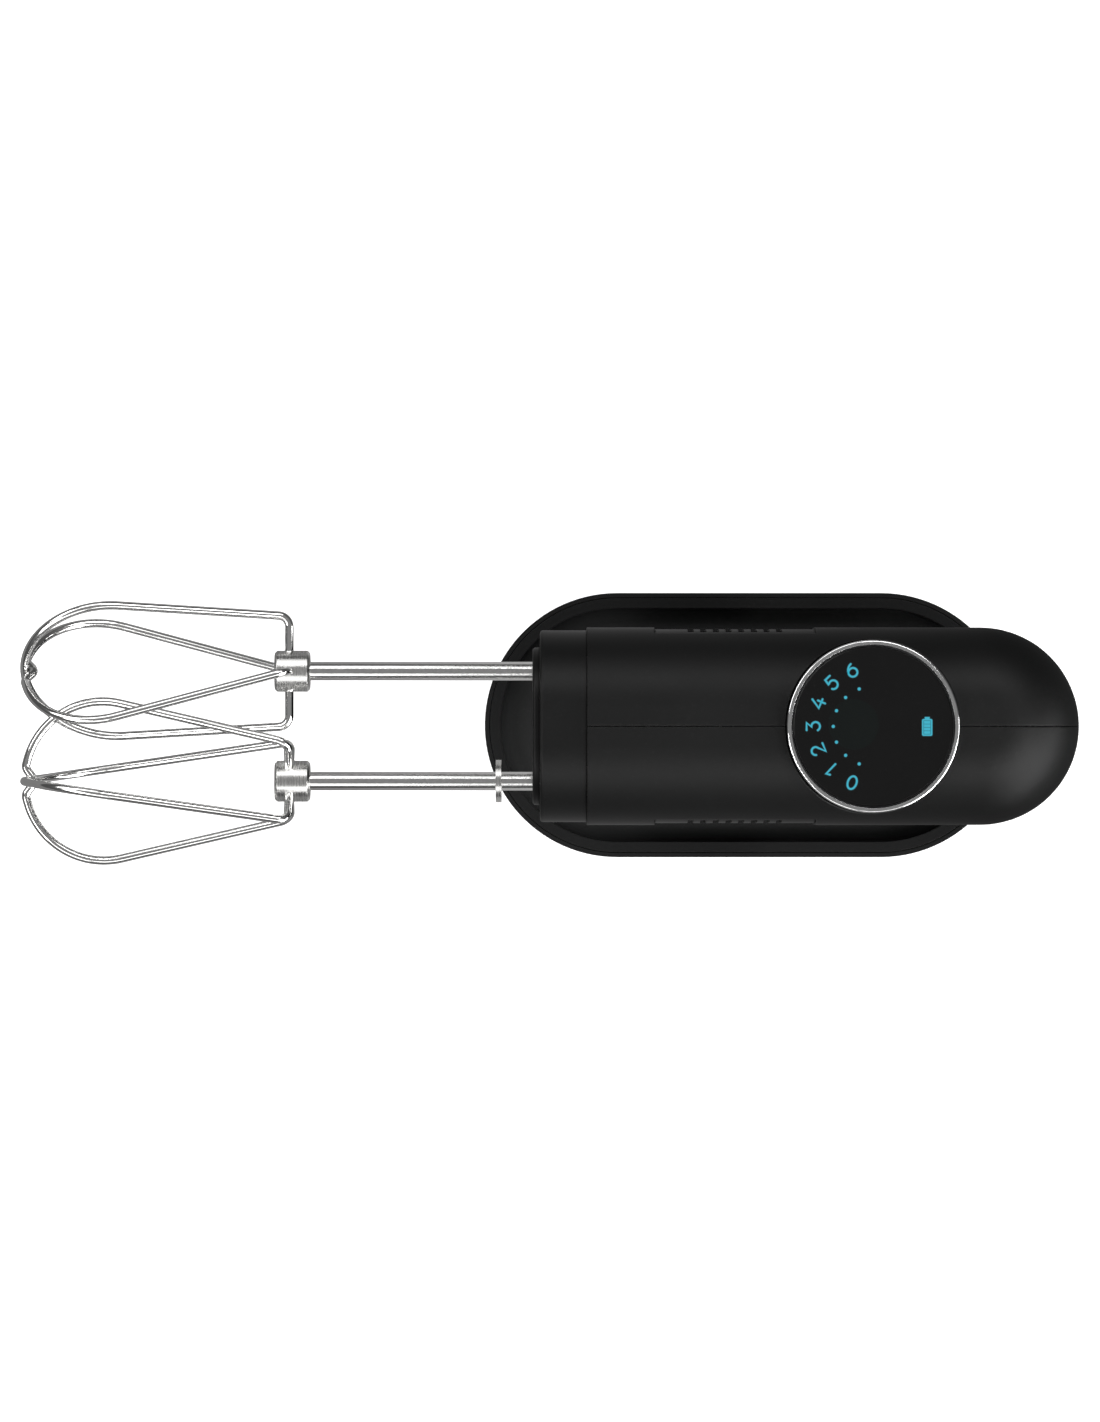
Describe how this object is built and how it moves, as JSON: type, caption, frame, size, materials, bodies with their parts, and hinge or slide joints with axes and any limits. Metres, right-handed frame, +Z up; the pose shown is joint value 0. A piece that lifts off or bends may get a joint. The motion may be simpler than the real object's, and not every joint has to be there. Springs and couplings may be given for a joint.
{
  "type": "hand mixer",
  "caption": "Cordless hand mixer standing on its heel on an oval charging base, with wire beaters, a round display dial and a closed handle.",
  "frame": {"origin": "middle of the charging base's underside", "axes": "+Z up, -X towards the beaters' tips, +Y towards the user's right hand side"},
  "size_m": [0.3275, 0.088, 0.209],
  "materials": {
    "body_plastic": "soft-touch black moulded plastic, fine satin grain",
    "nose_plastic": "satin black moulded plastic",
    "base_plastic": "black moulded plastic, fine spark texture",
    "soft_rubber": "matt black rubber",
    "chrome_trim": "bright chrome",
    "display_glass": "polished black glass with lit markings",
    "beater_steel": "polished stainless steel wire and rod",
    "plain_steel": "bright zinc-plated steel",
    "spring_steel": "drawn spring wire",
    "gold_contacts": "gold-plated contacts",
    "bronze": "sintered bronze",
    "copper": "turned copper",
    "gear_plastic": "natural acetal",
    "cast_frame": "die-cast, tumbled",
    "iron_core": "stacked laminations",
    "ballast_iron": "painted iron",
    "circuit": "green solder mask",
    "cell_wrap": "shrink wrap",
    "inner_plastic": "plain dark moulding",
    "carbon": "pressed carbon"
  },
  "bodies": {
    "charging_base": {"base_foot_pad": "soft_rubber", "base_pan": "base_plastic", "base_cover": "base_plastic", "base_ballast": "ballast_iron", "base_circuit_board": "circuit", "base_power_inlet": "inner_plastic", "base_screws": "plain_steel", "base_pin_block": "inner_plastic", "charge_pin_springs": "spring_steel"},
    "charge_pins": {"charge_pins": "gold_contacts"},
    "mixer": {"left_shell": "body_plastic", "right_shell": "body_plastic", "side_grilles": "nose_plastic", "heel_cap": "soft_rubber", "heel_contacts": "gold_contacts", "nose_ring": "nose_plastic", "socket_plate": "nose_plastic", "body_screws": "plain_steel", "grip_pad": "soft_rubber", "dial_seat": "inner_plastic", "display_glass": "display_glass", "display_circuit_board": "circuit", "gearbox_frame": "cast_frame", "gearbox_cover": "cast_frame", "spindle_bushes": "bronze", "motor_can": "plain_steel", "motor_magnets": "iron_core", "motor_end_plate": "inner_plastic", "motor_bushes": "bronze", "motor_brushes": "carbon", "motor_cushions": "soft_rubber", "battery_cells": "cell_wrap", "battery_holder": "inner_plastic", "main_circuit_board": "circuit", "eject_spring": "spring_steel"},
    "speed_ring": {"speed_ring": "chrome_trim", "ring_magnet_carrier": "inner_plastic"},
    "motor": {"motor_shaft": "plain_steel", "rotor_core": "iron_core", "commutator": "copper", "cooling_fan": "inner_plastic", "worm": "plain_steel"},
    "ejector": {"eject_button": "nose_plastic", "eject_rod": "inner_plastic", "eject_yoke": "inner_plastic"},
    "left_spindle": {"left_spindle": "plain_steel", "left_worm_wheel": "gear_plastic"},
    "left_ejector_pin": {"left_ejector_pin": "plain_steel"},
    "left_beater": {"left_beater_shaft": "beater_steel", "left_beater_hub": "beater_steel", "left_beater_plain_loop": "beater_steel", "left_beater_dimpled_loop": "beater_steel", "left_beater_collar": "beater_steel"},
    "right_spindle": {"right_spindle": "plain_steel", "right_worm_wheel": "gear_plastic"},
    "right_ejector_pin": {"right_ejector_pin": "plain_steel"},
    "right_beater": {"right_beater_shaft": "beater_steel", "right_beater_hub": "beater_steel", "right_beater_plain_loop": "beater_steel", "right_beater_dimpled_loop": "beater_steel"}
  },
  "joints": [
    {"name": "mixer_lift", "type": "slide", "parent": "charging_base", "child": "mixer", "axis": [0, 0, 1], "range_m": [0, 0.06]},
    {"name": "charge_pin_press", "type": "slide", "parent": "charging_base", "child": "charge_pins", "axis": [0, 0, -1], "range_m": [0, 0.0015], "stiffness_N_per_m": 300, "deforming": ["charge_pin_springs"]},
    {"name": "speed_ring_turn", "type": "hinge", "parent": "mixer", "child": "speed_ring", "pos_m": [0.0322, 0, 0.2], "axis": [0, 0, -1], "range_deg": [0, 138.6]},
    {"name": "left_spindle_spin", "type": "hinge", "parent": "mixer", "child": "left_spindle", "pos_m": [-0.03, -0.01705, 0.173], "axis": [1, 0, 0], "continuous": true},
    {"name": "right_spindle_spin", "type": "hinge", "parent": "mixer", "child": "right_spindle", "pos_m": [-0.03, 0.01705, 0.173], "axis": [1, 0, 0], "continuous": true},
    {"name": "motor_spin", "type": "hinge", "parent": "mixer", "child": "motor", "pos_m": [-0.03, 0, 0.12], "axis": [0, 0, 1], "continuous": true},
    {"name": "eject_press", "type": "slide", "parent": "mixer", "child": "ejector", "axis": [-1, 0, 0], "range_m": [0, 0.007], "stiffness_N_per_m": 400, "deforming": ["eject_spring"]},
    {"name": "left_pin_push", "type": "slide", "parent": "left_spindle", "child": "left_ejector_pin", "axis": [-1, 0, 0], "range_m": [0, 0.007]},
    {"name": "left_beater_pull", "type": "slide", "parent": "left_ejector_pin", "child": "left_beater", "axis": [-1, 0, 0], "range_m": [0, 0.026]},
    {"name": "right_pin_push", "type": "slide", "parent": "right_spindle", "child": "right_ejector_pin", "axis": [-1, 0, 0], "range_m": [0, 0.007]},
    {"name": "right_beater_pull", "type": "slide", "parent": "right_ejector_pin", "child": "right_beater", "axis": [-1, 0, 0], "range_m": [0, 0.026]}
  ],
  "couplings": [
    {"joint": "right_spindle_spin", "follows": "left_spindle_spin", "ratio": -1},
    {"joint": "motor_spin", "follows": "left_spindle_spin", "ratio": -9},
    {"joint": "left_pin_push", "follows": "eject_press", "ratio": 1},
    {"joint": "right_pin_push", "follows": "eject_press", "ratio": 1}
  ]
}
